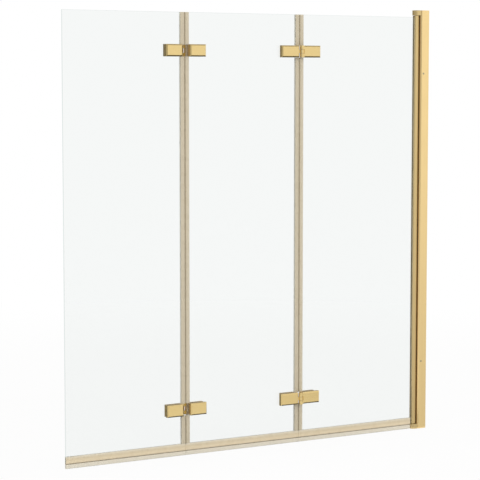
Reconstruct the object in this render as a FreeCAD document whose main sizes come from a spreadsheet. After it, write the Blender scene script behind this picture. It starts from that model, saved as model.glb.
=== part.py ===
# Three-panel folding bath screen
#
# The origin is on the wall face at the foot of the wall profile. +Z is up and the wall is the plane X = 0.
# The screen runs away from the wall along -X, with the middle of the glass thickness at Y = 0.
# The front, the side that faces the room, is -Y.

import FreeCAD, Part
import os
import re

import Sketcher

doc = FreeCAD.newDocument("FoldingBathScreen")

# Driving sizes in millimetres, apart from the counts and shares that say so in their names

SIZES = (
    # whole screen and its three panels
    ("screen_width", "1300"),
    ("screen_height", "1380"),
    ("outer_panel_width", "402.5"),
    ("middle_panel_width", "407.5"),
    # glass
    ("glass_thickness", "6"),
    ("glass_foot_height", "17"),
    ("glass_top_drop", "22"),
    ("glass_edge_gap", "3.5"),
    ("glass_arris", "0.5"),
    ("glass_hole_radius", "4.9"),
    # wall profile
    ("wall_profile_depth", "32"),
    ("wall_profile_width", "29"),
    ("wall_profile_flange", "1.6"),
    ("wall_profile_web", "2"),
    ("wall_profile_bevel", "3.8"),
    ("wall_profile_corner", "0.8"),
    ("mouth_width", "18.2"),
    ("fixing_hole_radius", "3"),
    ("fixing_inset", "100"),
    ("fixing_middle_spacing", "400"),
    # adjusting profile inside it
    ("slide_clearance", "0.3"),
    ("adjusting_profile_wall", "1.5"),
    ("adjusting_profile_end", "8"),
    ("nose_inset", "0.4"),
    ("nose_face_wall", "2.5"),
    ("screw_port_radius", "3.9"),
    # side screws that clamp the two profiles
    ("side_screw_reach", "20.9"),
    ("side_screw_rise", "226"),
    ("side_screw_drop", "205"),
    ("side_screw_head_radius", "3"),
    ("side_screw_radius", "1.6"),
    ("side_screw_head_height", "1.2"),
    ("side_screw_length", "7"),
    # pivot profile, whose round back turns before the mouth of the wall profile
    ("pivot_gap", "0.4"),
    ("pivot_profile_radius", "8.5"),
    ("pivot_profile_reach", "10.3"),
    ("pivot_profile_corner", "4"),
    ("pivot_bore_radius", "3.6"),
    ("glazing_slot_depth", "5.7"),
    ("glazing_slot_rest", "0.6"),
    ("gasket_thickness", "1.3"),
    ("gasket_lip", "1"),
    ("gasket_lip_height", "0.9"),
    # wiper strip
    ("wiper_thickness", "1.6"),
    ("wiper_seat", "1.2"),
    ("wiper_half_width", "5"),
    # brackets, pivot pins and their bushes
    ("bracket_thickness", "16"),
    ("bracket_radius", "13.5"),
    ("bracket_tongue_gap", "10"),
    ("bracket_bevel", "0.6"),
    ("bracket_screw_reach", "25.5"),
    ("bracket_screw_offset", "4.5"),
    ("bracket_screw_radius", "2"),
    ("bracket_screw_head_radius", "3.6"),
    ("bracket_screw_length", "30"),
    ("pivot_pin_radius", "2.5"),
    ("pivot_pin_socket", "12"),
    ("pivot_pin_reach", "14"),
    ("pivot_bush_length", "16"),
    ("pivot_bush_flange_radius", "5"),
    # seals
    ("seal_gap", "0.3"),
    ("seal_root", "1.3"),
    ("seal_tip", "0.8"),
    ("edge_seal_reach", "14.5"),
    ("edge_seal_web", "1.2"),
    ("edge_seal_wall", "0.5"),
    ("edge_bulb_share", "0.45"),
    ("bottom_seal_leg", "19.5"),
    ("bottom_seal_web", "1.2"),
    ("bottom_bulb_half_width", "4"),
    ("bottom_neck_half_width", "2.4"),
    ("bottom_neck_height", "2.2"),
    ("bottom_bulb_wall", "0.8"),
    ("seal_cut_gap", "0.5"),
    # folding hinges
    ("lower_hinge_height", "143"),
    ("upper_hinge_drop", "137"),
    ("fold_axis_offset", "17.5"),
    ("fold_face_gap", "0.5"),
    ("hinge_height", "37"),
    ("leaf_start", "6.5"),
    ("leaf_end", "71.2"),
    ("leaf_bevel", "3.8"),
    ("leaf_neck_thickness", "6"),
    ("knuckle_radius", "6.5"),
    ("end_knuckle_height", "12"),
    ("knuckle_gap", "0.3"),
    ("cover_start", "12.5"),
    ("cover_end", "68"),
    ("cover_wall", "1.5"),
    ("cover_face", "4"),
    ("rear_shortening", "6.8"),
    ("pad_thickness", "1"),
    ("pad_collar_radius", "4.8"),
    ("pad_collar_gap", "0.2"),
    ("clamp_plate_thickness", "3"),
    ("clamp_plate_gap", "0.2"),
    ("hinge_screw_near", "28"),
    ("hinge_screw_far", "52"),
    ("hinge_screw_radius", "2.5"),
    ("hinge_screw_head_radius", "4.6"),
    ("hinge_screw_depth", "8"),
    ("hinge_pin_radius", "3"),
    ("hinge_pin_recess", "1"),
    ("hinge_bush_radius", "4.2"),
    ("hinge_bush_flange_radius", "6"),
    # fits and tools
    ("bush_flange", "0.8"),
    ("seat_clearance", "0.05"),
    ("running_clearance", "0.05"),
    ("running_gap", "0.4"),
    ("head_recess", "0.2"),
    ("edge_break", "0.4"),
    ("overrun", "1"),
)

# Places worked out from the sizes

PLACES = {
    # heights
    "glass_top": "screen_height - glass_top_drop",
    "upper_hinge_height": "screen_height - upper_hinge_drop",
    "side_screw_height": "screen_height - side_screw_drop",
    "profile_foot": "bracket_thickness",
    "profile_head": "screen_height - bracket_thickness",
    "pivot_foot": "profile_foot + running_gap + bush_flange",
    "pivot_head": "profile_head - running_gap - bush_flange",
    "edge_seal_foot": "glass_foot_height + bottom_seal_leg + seal_cut_gap",
    # distances from the wall, all negative
    "wall_mouth": "-wall_profile_depth",
    "bevel_start": "wall_mouth + wall_profile_bevel",
    "shoulder": "bevel_start + slide_clearance",
    "nose": "wall_mouth + nose_inset",
    "pivot_axis": "wall_mouth - pivot_gap - pivot_profile_radius",
    "pivot_left": "pivot_axis - pivot_profile_reach",
    "slot_end": "pivot_left + glazing_slot_depth",
    "inner_fold": "outer_panel_width + middle_panel_width - screen_width",
    "outer_fold": "outer_panel_width - screen_width",
    "free_edge": "-screen_width",
    "inner_seal_end": "pivot_axis - bracket_radius - 2 * seal_gap",
    # half widths across the screen
    "glass_face": "glass_thickness / 2",
    "slot_face": "glass_face + gasket_thickness",
    "channel_face": "wall_profile_width / 2 - wall_profile_flange",
    "slide_face": "channel_face - slide_clearance",
    "mouth_face": "mouth_width / 2",
    "nose_face": "mouth_face - slide_clearance",
    "seal_root_face": "glass_face + seal_root",
    "seal_tip_face": "glass_face + seal_tip",
    "pad_face": "glass_face + pad_thickness",
    "plate_face": "pad_face + clamp_plate_thickness",
    "hinge_face": "fold_axis_offset - fold_face_gap",
    # hinge
    "hinge_half": "hinge_height / 2",
    "middle_knuckle_half": "hinge_half - end_knuckle_height - bush_flange - knuckle_gap",
    "plate_inset": "cover_wall + clamp_plate_gap",
    "neck_back": "hinge_face - leaf_neck_thickness",
}

# Document, sheet and formulas

sheet = doc.addObject("Spreadsheet::Sheet", "Sizes")
for row, (size, millimetres) in enumerate(SIZES, start=1):
    sheet.set(f"A{row}", size)
    sheet.set(f"B{row}", millimetres)
    sheet.setAlias(f"B{row}", size)
doc.recompute()

SIZE_NAMES = {size for size, millimetres in SIZES}


def formula(text):
    """The text as an expression, with every place worked out and every size read from the sheet."""

    def word(match):
        name = match.group(0)
        if name in PLACES:
            return f"({formula(PLACES[name])})"
        return f"Sizes.{name}" if name in SIZE_NAMES else name

    return re.sub(r"[a-z][a-z_]+", word, text)


def value(text):
    """The present value of a formula, used to start a sketch or to find an edge."""
    return float(sheet.evalExpression(formula(text)))


def times(sign, text):
    """The text, or its negative where the sign is -1."""
    return text if sign > 0 else f"-({text})"


def span(sign, near, far):
    """The two ends of a stretch from near to far on one side of zero, the lower first."""
    return (near, far) if sign > 0 else (times(sign, far), times(sign, near))


# Sketches and features

PLANES = {"plan": "XY_Plane", "front": "XZ_Plane", "section": "YZ_Plane"}


def new_body(label):
    """A new piece under its own label."""
    body = doc.addObject("PartDesign::Body", label)
    body.Label = label
    return body


def new_sketch(body, view, level, across="0"):
    """A sketch on one of the body's own planes, set off from it to a level.

    A plan is seen from above and a front view from the front, where the level counts towards the front.
    A section is seen from the wall's side, and its level counts along +X.
    """
    sketch = body.newObject("Sketcher::SketchObject", f"{body.Name}_outline")
    plane = next(f for f in body.Origin.OriginFeatures if f.Role == PLANES[view])
    sketch.AttachmentSupport = (plane, [""])
    sketch.MapMode = "FlatFace"
    sketch.setExpression("AttachmentOffset.Base.z", formula(level))
    if across != "0":
        sketch.setExpression("AttachmentOffset.Base.x", formula(across))
    return sketch


def fix_point(sketch, edge, end, x, y):
    """Holds one end of a sketched edge at its two formulas."""
    for kind, text in (("DistanceX", x), ("DistanceY", y)):
        number = sketch.addConstraint(Sketcher.Constraint(kind, -1, 1, edge, end, value(text)))
        sketch.setExpression(f"Constraints[{number}]", formula(text))


def draw_outline(sketch, corners, arcs=None):
    """A closed outline through its corners.

    arcs gives, for a corner's number, the centre and radius of the arc that runs anticlockwise
    from it to the next.
    """
    arcs = arcs or {}
    points = [FreeCAD.Vector(value(x), value(y), 0) for x, y in corners]
    edges = []
    for number, start in enumerate(points):
        stop = points[(number + 1) % len(points)]
        if number in arcs:
            centre_x, centre_y, radius = arcs[number]
            centre = FreeCAD.Vector(value(centre_x), value(centre_y), 0)
            circle = Part.Circle(centre, FreeCAD.Vector(0, 0, 1), value(radius))
            arc = Part.ArcOfCircle(circle, circle.parameter(start), circle.parameter(stop))
            edge = sketch.addGeometry(arc, False)
            bind = sketch.addConstraint(Sketcher.Constraint("Radius", edge, value(radius)))
            sketch.setExpression(f"Constraints[{bind}]", formula(radius))
        else:
            edge = sketch.addGeometry(Part.LineSegment(start, stop), False)
        edges.append(edge)
    for edge, next_edge in zip(edges, edges[1:] + edges[:1]):
        sketch.addConstraint(Sketcher.Constraint("Coincident", edge, 2, next_edge, 1))
    for edge, (x, y) in zip(edges, corners):
        fix_point(sketch, edge, 1, x, y)


def draw_circle(sketch, x, y, radius):
    """A circle held at its centre and radius."""
    centre = FreeCAD.Vector(value(x), value(y), 0)
    edge = sketch.addGeometry(Part.Circle(centre, FreeCAD.Vector(0, 0, 1), value(radius)), False)
    fix_point(sketch, edge, 3, x, y)
    bind = sketch.addConstraint(Sketcher.Constraint("Radius", edge, value(radius)))
    sketch.setExpression(f"Constraints[{bind}]", formula(radius))


def rectangle(low_x, high_x, low_y, high_y):
    """The corners of an upright rectangle."""
    return [(low_x, low_y), (high_x, low_y), (high_x, high_y), (low_x, high_y)]


def add(body, sketch, low, high):
    """Adds what the sketch outlines, from its level at low up to high."""
    pad = body.newObject("PartDesign::Pad", f"{body.Name}_pad")
    pad.Profile = sketch
    pad.setExpression("Length", formula(f"({high}) - ({low})"))
    doc.recompute()
    return pad


def cut(body, sketch, low, high):
    """Takes away what the sketch outlines, and makes sure that something went."""
    before = body.Shape.Volume
    pocket = body.newObject("PartDesign::Pocket", f"{body.Name}_cut")
    pocket.Profile = sketch
    pocket.Reversed = True
    pocket.setExpression("Length", formula(f"({high}) - ({low})"))
    doc.recompute()
    if not body.Shape.Volume < before:
        raise RuntimeError(f"a cut in {body.Label} took nothing away")
    return pocket


def add_outlines(body, view, outlines, low, high):
    """Straight extrusions of separate outlines between two levels."""
    sketch = new_sketch(body, view, low)
    for corners in outlines:
        draw_outline(sketch, corners)
    return add(body, sketch, low, high)


def cut_outlines(body, view, outlines, low, high):
    """Separate outlines cut away between two levels."""
    sketch = new_sketch(body, view, low)
    for corners in outlines:
        draw_outline(sketch, corners)
    return cut(body, sketch, low, high)


def add_circles(body, view, centres, radius, low, high):
    """Round bars of one radius between two levels."""
    sketch = new_sketch(body, view, low)
    for x, y in centres:
        draw_circle(sketch, x, y, radius)
    return add(body, sketch, low, high)


def cut_circles(body, view, centres, radius, low, high):
    """Round holes of one radius between two levels."""
    sketch = new_sketch(body, view, low)
    for x, y in centres:
        draw_circle(sketch, x, y, radius)
    return cut(body, sketch, low, high)


def turn(body, view, level, across, corners):
    """A turned piece: the outline spun about the upright line of its sketch."""
    sketch = new_sketch(body, view, level, across)
    draw_outline(sketch, corners)
    turned = body.newObject("PartDesign::Revolution", f"{body.Name}_turned")
    turned.Profile = sketch
    turned.ReferenceAxis = (sketch, ["V_Axis"])
    turned.Angle = 360
    doc.recompute()
    return turned


def near(first, second):
    """Whether two numbers are the same place."""
    return abs(first - second) < 1e-4


def dress(body, kind, size, size_text, test):
    """A fillet or chamfer on the edges that pass the test."""
    base = body.Tip
    names = [f"Edge{i}" for i, edge in enumerate(base.Shape.Edges, start=1) if test(edge.BoundBox, edge)]
    if not names:
        raise RuntimeError(f"no edge of {body.Label} to dress")
    feature = body.newObject(kind, f"{body.Name}_dressed")
    feature.Base = (base, names)
    feature.setExpression(size, formula(size_text))
    doc.recompute()
    return feature


def bevel(body, size, test):
    """A chamfer of one size."""
    return dress(body, "PartDesign::Chamfer", "Size", size, test)


def soften(body, radius, test):
    """A fillet of one radius."""
    return dress(body, "PartDesign::Fillet", "Radius", radius, test)


def is_circle(edge, radius):
    """Whether an edge lies on a circle of a radius."""
    return isinstance(edge.Curve, Part.Circle) and near(edge.Curve.Radius, value(radius))


def is_upright(box):
    """Whether an edge's corner box belongs to a line along Z."""
    return near(box.XLength + box.YLength, 0)


def at_level(low, high, text):
    """Whether an edge lies wholly at one level, between its lowest and highest coordinate."""
    return near(low, value(text)) and near(high, value(text))


def mirrored(corners):
    """The same corners on the other side of the X axis, in the order that carries an outline on."""
    return [(x, f"-({y})") for x, y in reversed(corners)]


def place(body, x, z="0"):
    """Puts a body that is drawn about its own axis at its place."""
    body.setExpression("Placement.Base.x", formula(x))
    body.setExpression("Placement.Base.z", formula(z))


SIDE_SCREWS = [("-side_screw_reach", "side_screw_rise"), ("-side_screw_reach", "side_screw_height")]
BRACKET_SCREWS = [
    ("-bracket_screw_reach", "-bracket_screw_offset"),
    ("-bracket_screw_reach", "bracket_screw_offset"),
]


# Wall profile: a channel with bevelled lips round its mouth, and its wall-screw holes in the web

def make_wall_profile():
    body = new_body("wall_profile")
    half_width = "wall_profile_width / 2"
    bevel_end = f"{half_width} - wall_profile_bevel"
    lip_back = "wall_mouth + wall_profile_flange"
    upper_half = [
        ("-wall_profile_web", "channel_face"),
        ("bevel_start", "channel_face"),
        (lip_back, bevel_end),
        (lip_back, "mouth_face"),
        ("wall_mouth", "mouth_face"),
        ("wall_mouth", bevel_end),
        ("bevel_start", half_width),
        ("0", half_width),
    ]
    add_outlines(body, "plan", [upper_half + mirrored(upper_half)], "0", "screen_height")
    soften(
        body,
        "wall_profile_corner",
        lambda box, edge: is_upright(box) and near(abs(box.YMin), value(half_width)),
    )
    heights = (
        "fixing_inset",
        "(screen_height - fixing_middle_spacing) / 2",
        "(screen_height + fixing_middle_spacing) / 2",
        "screen_height - fixing_inset",
    )
    cut_circles(
        body,
        "section",
        [("0", height) for height in heights],
        "fixing_hole_radius",
        "-wall_profile_web - overrun",
        "overrun",
    )
    cut_circles(
        body,
        "front",
        SIDE_SCREWS,
        "side_screw_radius + slide_clearance",
        "channel_face - overrun",
        f"{half_width} + overrun",
    )


# Adjusting profile: slides in the wall profile, closes its mouth with a nose, and holds the screw ports

def make_adjusting_profile():
    body = new_body("adjusting_profile")
    wall = "adjusting_profile_wall"
    outside = [
        ("-adjusting_profile_end", "slide_face"),
        ("shoulder", "slide_face"),
        ("shoulder", "nose_face"),
        ("nose", "nose_face"),
    ]
    inside = [
        ("nose + nose_face_wall", f"nose_face - {wall}"),
        (f"shoulder + {wall}", f"nose_face - {wall}"),
        (f"shoulder + {wall}", f"slide_face - {wall}"),
        ("-adjusting_profile_end", f"slide_face - {wall}"),
    ]
    section = outside + mirrored(outside) + mirrored(inside) + inside
    add_outlines(body, "plan", [section], "profile_foot", "profile_head")
    groove_face = "wiper_half_width + seat_clearance"
    groove = rectangle("nose - overrun", "nose + wiper_seat", f"-({groove_face})", groove_face)
    cut_outlines(body, "plan", [groove], "profile_foot - overrun", "profile_head + overrun")
    add_circles(body, "plan", BRACKET_SCREWS, "screw_port_radius", "profile_foot", "profile_head")
    cut_circles(
        body,
        "plan",
        BRACKET_SCREWS,
        "bracket_screw_radius + seat_clearance",
        "profile_foot - overrun",
        "profile_head + overrun",
    )
    cut_circles(
        body,
        "front",
        SIDE_SCREWS,
        "side_screw_radius + seat_clearance",
        f"slide_face - {wall} - overrun",
        "slide_face + overrun",
    )


# Side screws: low round heads on the front of the wall profile

def make_side_screws():
    body = new_body("side_screws")
    seat = "-(wall_profile_width / 2)"
    for x, height in SIDE_SCREWS:
        turn(
            body,
            "plan",
            height,
            x,
            [
                ("0", f"{seat} - side_screw_head_height"),
                ("side_screw_head_radius - edge_break", f"{seat} - side_screw_head_height"),
                ("side_screw_head_radius", f"{seat} - side_screw_head_height + edge_break"),
                ("side_screw_head_radius", seat),
                ("side_screw_radius", seat),
                ("side_screw_radius", f"{seat} + side_screw_length"),
                ("0", f"{seat} + side_screw_length"),
            ],
        )


# Wiper strip: sits in the nose and closes the gap to the round back of the pivot profile

def make_wiper_strip():
    body = new_body("wiper_strip")
    seat = "nose + wiper_seat"
    strip = rectangle(f"{seat} - wiper_thickness", seat, "-wiper_half_width", "wiper_half_width")
    add_outlines(body, "plan", [strip], "profile_foot", "profile_head")
    bevel(
        body,
        "edge_break",
        lambda box, edge: is_upright(box) and near(box.XMin, value(f"{seat} - wiper_thickness")),
    )


# Brackets: a round end about the pivot axis, and a tongue that fills the end of the wall profile

def make_bracket(label, low, high, outer, socket_low, socket_high):
    body = new_body(label)
    half = [
        ("-bracket_tongue_gap", "slide_face"),
        ("shoulder", "slide_face"),
        ("shoulder", "nose_face"),
        ("wall_mouth", "nose_face"),
        ("wall_mouth", "bracket_radius"),
        ("pivot_axis", "bracket_radius"),
    ]
    sketch = new_sketch(body, "plan", low)
    corners = half + [("pivot_axis - bracket_radius", "0")] + mirrored(half)
    quarter = ("pivot_axis", "0", "bracket_radius")
    draw_outline(sketch, corners, {len(half) - 1: quarter, len(half): quarter})
    add(body, sketch, low, high)
    bevel(body, "bracket_bevel", lambda box, edge: at_level(box.ZMin, box.ZMax, outer))
    socket = "pivot_pin_radius + seat_clearance"
    cut_circles(body, "plan", [("pivot_axis", "0")], socket, socket_low, socket_high)
    hole = "bracket_screw_radius + seat_clearance"
    cut_circles(body, "plan", BRACKET_SCREWS, hole, f"{low} - overrun", f"{high} + overrun")
    bevel(
        body,
        "bracket_screw_head_radius - bracket_screw_radius + head_recess",
        lambda box, edge: at_level(box.ZMin, box.ZMax, outer) and is_circle(edge, hole),
    )


def make_bracket_screws():
    body = new_body("bracket_screws")
    for outer, inwards in (("screen_height", "-"), ("0", "+")):
        head = f"{outer} {inwards} head_recess"
        neck = f"{head} {inwards} (bracket_screw_head_radius - bracket_screw_radius)"
        tip = f"{head} {inwards} bracket_screw_length"
        for x, y in BRACKET_SCREWS:
            turn(
                body,
                "front",
                f"-({y})",
                x,
                [
                    ("0", head),
                    ("bracket_screw_head_radius", head),
                    ("bracket_screw_radius", neck),
                    ("bracket_screw_radius", tip),
                    ("0", tip),
                ],
            )


# Pivot pins, pressed into the brackets, and the flanged bushes that turn on them

def make_pivot_pins():
    body = new_body("pivot_pins")
    spans = (
        ("pivot_head - pivot_pin_reach", "profile_head + pivot_pin_socket"),
        ("profile_foot - pivot_pin_socket", "pivot_foot + pivot_pin_reach"),
    )
    for low, high in spans:
        add_circles(body, "plan", [("pivot_axis", "0")], "pivot_pin_radius", low, high)
    bevel(body, "edge_break", lambda box, edge: near(box.ZLength, 0) and is_circle(edge, "pivot_pin_radius"))


def make_pivot_bushes():
    body = new_body("pivot_bushes")
    axis = [("pivot_axis", "0")]
    barrel = "pivot_bore_radius - seat_clearance"
    add_circles(body, "plan", axis, barrel, "pivot_head - pivot_bush_length", "pivot_head")
    add_circles(body, "plan", axis, "pivot_bush_flange_radius", "pivot_head", "pivot_head + bush_flange")
    add_circles(body, "plan", axis, barrel, "pivot_foot", "pivot_foot + pivot_bush_length")
    add_circles(body, "plan", axis, "pivot_bush_flange_radius", "pivot_foot - bush_flange", "pivot_foot")
    cut_circles(body, "plan", axis, "pivot_pin_radius + running_clearance", "0", "screen_height")


# Pivot profile: a round back about the pivot axis, a bore for the bushes and a slot for the glass

def make_pivot_profile():
    body = new_body("pivot_profile")
    face = "pivot_profile_radius"
    block = rectangle("pivot_left", "pivot_axis", f"-{face}", face)
    add_outlines(body, "plan", [block], "pivot_foot", "pivot_head")
    soften(
        body,
        "pivot_profile_corner",
        lambda box, edge: is_upright(box) and near(box.XMin, value("pivot_left")),
    )
    add_circles(body, "plan", [("pivot_axis", "0")], face, "pivot_foot", "pivot_head")
    slot = rectangle("pivot_left - overrun", "slot_end", "-slot_face", "slot_face")
    cut_outlines(body, "plan", [slot], "pivot_foot - overrun", "pivot_head + overrun")
    cut_circles(
        body,
        "plan",
        [("pivot_axis", "0")],
        "pivot_bore_radius",
        "pivot_foot - overrun",
        "pivot_head + overrun",
    )


def make_glazing_gaskets():
    body = new_body("glazing_gaskets")
    strip = [
        ("slot_end", "glass_face"),
        ("slot_end", "slot_face"),
        ("pivot_left", "slot_face"),
        ("pivot_left", "slot_face + gasket_lip_height"),
        ("pivot_left - gasket_lip", "glass_face + gasket_lip_height"),
        ("pivot_left - gasket_lip", "glass_face"),
    ]
    add_outlines(body, "plan", [strip, mirrored(strip)], "pivot_foot", "glass_top")


# Panels: each has its glass, a bottom seal and an edge seal at each fold

HINGE_HEIGHTS = {"lower": "lower_hinge_height", "upper": "upper_hinge_height"}
HINGE_SCREWS = ("hinge_screw_near", "hinge_screw_far")


def make_glass(label, low_x, high_x, folds):
    """folds holds, for each edge with hinges, the fold and the side of it that the glass lies on."""
    body = new_body(label)
    pane = rectangle(low_x, high_x, "glass_foot_height", "glass_top")
    add_outlines(body, "front", [pane], "-glass_face", "glass_face")
    bevel(
        body,
        "glass_arris",
        lambda box, edge: near(abs(box.YMin), value("glass_face")) and near(box.YLength, 0),
    )
    centres = []
    for fold, side in folds:
        for reach in HINGE_SCREWS:
            for height in HINGE_HEIGHTS.values():
                centres.append((f"{fold} + {times(side, reach)}", height))
    cut_circles(body, "front", centres, "glass_hole_radius", "-glass_face - overrun", "glass_face + overrun")


def make_bottom_seal(label, low_x, high_x):
    body = new_body(label)
    web_foot = "glass_foot_height - bottom_seal_web"
    leg_top = "glass_foot_height + bottom_seal_leg"
    bulb = "bottom_bulb_half_width"
    bulb_top = f"{web_foot} - bottom_neck_height"
    bore = "bottom_bulb_half_width - bottom_bulb_wall"
    neck = rectangle("-bottom_neck_half_width", "bottom_neck_half_width", bulb_top, web_foot)
    clip = [
        ("-seal_root_face", web_foot),
        ("seal_root_face", web_foot),
        ("seal_tip_face", leg_top),
        ("glass_face", leg_top),
        ("glass_face", "glass_foot_height"),
        ("-glass_face", "glass_foot_height"),
        ("-glass_face", leg_top),
        ("-seal_tip_face", leg_top),
    ]
    add_outlines(body, "section", [clip], low_x, high_x)
    add_outlines(body, "section", [neck], low_x, high_x)
    add_outlines(body, "section", [rectangle(f"-{bulb}", bulb, bulb, bulb_top)], low_x, high_x)
    add_circles(body, "section", [("0", bulb)], bulb, low_x, high_x)
    cut_low, cut_high = f"{low_x} - overrun", f"{high_x} + overrun"
    hollow = rectangle(f"-({bore})", bore, bulb, f"{bulb_top} - bottom_bulb_wall")
    cut_outlines(body, "section", [hollow], cut_low, cut_high)
    cut_circles(body, "section", [("0", bulb)], bore, cut_low, cut_high)


def make_edge_seal(label, fold, side):
    """The seal on one glass edge, cut into three lengths by its two hinges."""
    body = new_body(label)
    tip = times(side, "edge_seal_reach")
    web = times(side, "glass_edge_gap - edge_seal_web")
    half = [
        (web, "seal_root_face"),
        (tip, "seal_tip_face"),
        (tip, "glass_face"),
        (times(side, "glass_edge_gap"), "glass_face"),
    ]
    add_outlines(body, "plan", [half + mirrored(half)], "edge_seal_foot", "glass_top")
    bulb = "(glass_edge_gap - seal_gap) * edge_bulb_share"
    axis = [(times(side, f"seal_gap + {bulb}"), "0")]
    add_circles(body, "plan", axis, bulb, "edge_seal_foot", "glass_top")
    cut_circles(
        body,
        "plan",
        axis,
        f"{bulb} - edge_seal_wall",
        "edge_seal_foot - overrun",
        "glass_top + overrun",
    )
    breaks = []
    for height in HINGE_HEIGHTS.values():
        low_x, high_x = span(side, "0", "edge_seal_reach + overrun")
        reach = "(hinge_half + seal_cut_gap)"
        breaks.append(rectangle(low_x, high_x, f"{height} - {reach}", f"{height} + {reach}"))
    cut_outlines(body, "front", breaks, "-seal_root_face - overrun", "seal_root_face + overrun")
    place(body, fold)


# Hinges: each leaf is a bevelled block on the side of the pin, clamped through the glass to a covered plate

def block_end(end, facing):
    """Where a leaf or cover ends. One on the rear of the glass is shorter than one on its front."""
    return end if facing > 0 else f"({end} - rear_shortening)"


def make_leaf(label, fold, side, front, end_knuckles, height):
    """front is 1 where the pin stands before the glass and -1 where it stands behind it."""
    body = new_body(label)
    block = rectangle(*span(side, "leaf_start", block_end("leaf_end", front)), "-hinge_half", "hinge_half")
    add_outlines(body, "front", [block], *span(front, "pad_face", "hinge_face"))
    bevel(body, "leaf_bevel", lambda box, edge: at_level(box.YMin, box.YMax, times(-front, "hinge_face")))
    if end_knuckles:
        stretches = [
            ("-hinge_half", "end_knuckle_height - hinge_half"),
            ("hinge_half - end_knuckle_height", "hinge_half"),
        ]
        bore = "hinge_pin_radius + seat_clearance"
    else:
        stretches = [("-middle_knuckle_half", "middle_knuckle_half")]
        bore = "hinge_bush_radius + seat_clearance"
    neck = rectangle(
        *span(side, "0", "leaf_start + leaf_bevel"),
        *span(-front, "neck_back", "hinge_face"),
    )
    axis = [("0", times(-front, "fold_axis_offset"))]
    for low, high in stretches:
        add_outlines(body, "plan", [neck], low, high)
        add_circles(body, "plan", axis, "knuckle_radius", low, high)
    cut_circles(body, "plan", axis, bore, "-hinge_half - overrun", "hinge_half + overrun")
    cut_circles(
        body,
        "front",
        [(times(side, reach), "0") for reach in HINGE_SCREWS],
        "hinge_screw_radius + seat_clearance",
        *span(front, "pad_face - overrun", "pad_face + hinge_screw_depth + overrun"),
    )
    place(body, fold, height)


def make_cover(label, fold, side, front, height):
    """A hollow bevelled cover over the clamp plate, on the side of the glass away from the pin."""
    body = new_body(label)
    end = block_end("cover_end", -front)
    block = rectangle(*span(side, "cover_start", end), "-hinge_half", "hinge_half")
    add_outlines(body, "front", [block], *span(-front, "pad_face", "hinge_face"))
    bevel(body, "leaf_bevel", lambda box, edge: at_level(box.YMin, box.YMax, times(front, "hinge_face")))
    hollow = rectangle(
        *span(side, "cover_start + cover_wall", f"{end} - cover_wall"),
        "cover_wall - hinge_half",
        "hinge_half - cover_wall",
    )
    cut_outlines(body, "front", [hollow], *span(-front, "pad_face - overrun", "hinge_face - cover_face"))
    place(body, fold, height)


def hinge_outlines(side, start, end, half_height):
    """The same rectangle at both hinges."""
    low_x, high_x = span(side, start, end)
    return [
        rectangle(low_x, high_x, f"{height} - ({half_height})", f"{height} + ({half_height})")
        for height in HINGE_HEIGHTS.values()
    ]


def screw_centres(side):
    """The four screw places of one glass edge."""
    return [(times(side, reach), height) for reach in HINGE_SCREWS for height in HINGE_HEIGHTS.values()]


def make_clamp_plates(label, fold, side, front):
    body = new_body(label)
    end = f"{block_end('cover_end', -front)} - plate_inset"
    plates = hinge_outlines(side, "cover_start + plate_inset", end, "hinge_half - plate_inset")
    add_outlines(body, "front", plates, *span(-front, "pad_face", "plate_face"))
    hole = "hinge_screw_radius + seat_clearance"
    cut_circles(
        body, "front", screw_centres(side), hole, *span(-front, "pad_face - overrun", "plate_face + overrun")
    )
    bevel(
        body,
        "hinge_screw_head_radius - hinge_screw_radius + head_recess",
        lambda box, edge: at_level(box.YMin, box.YMax, times(front, "plate_face")) and is_circle(edge, hole),
    )
    place(body, fold)


def make_glass_pads(label, fold, side, front):
    """Soft pads on both faces of the glass. The leaf's pad has collars that line the holes."""
    body = new_body(label)
    for facing, start, end in ((front, "leaf_start", "leaf_end"), (-front, "cover_start", "cover_end")):
        pads = hinge_outlines(side, start, block_end(end, facing), "hinge_half")
        add_outlines(body, "front", pads, *span(facing, "glass_face", "pad_face"))
    collar = span(front, "pad_collar_gap - glass_face", "glass_face")
    add_circles(body, "front", screw_centres(side), "pad_collar_radius", *collar)
    cut_circles(
        body,
        "front",
        screw_centres(side),
        "hinge_screw_radius + seat_clearance",
        "-pad_face - overrun",
        "pad_face + overrun",
    )
    place(body, fold)


def make_hinge_screws(label, fold, side, front):
    body = new_body(label)
    head = "plate_face - head_recess"
    neck = f"{head} - (hinge_screw_head_radius - hinge_screw_radius)"
    tip = "-(pad_face + hinge_screw_depth)"
    for x, height in screw_centres(side):
        turn(
            body,
            "plan",
            height,
            x,
            [
                ("0", times(front, head)),
                ("hinge_screw_head_radius", times(front, head)),
                ("hinge_screw_radius", times(front, neck)),
                ("hinge_screw_radius", times(front, tip)),
                ("0", times(front, tip)),
            ],
        )
    place(body, fold)


def make_fold_pin(label, fold, front, height):
    body = new_body(label)
    axis = [("0", times(-front, "fold_axis_offset"))]
    low, high = "hinge_pin_recess - hinge_half", "hinge_half - hinge_pin_recess"
    add_circles(body, "plan", axis, "hinge_pin_radius", low, high)
    bevel(body, "edge_break", lambda box, edge: near(box.ZLength, 0) and is_circle(edge, "hinge_pin_radius"))
    place(body, fold, height)


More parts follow.
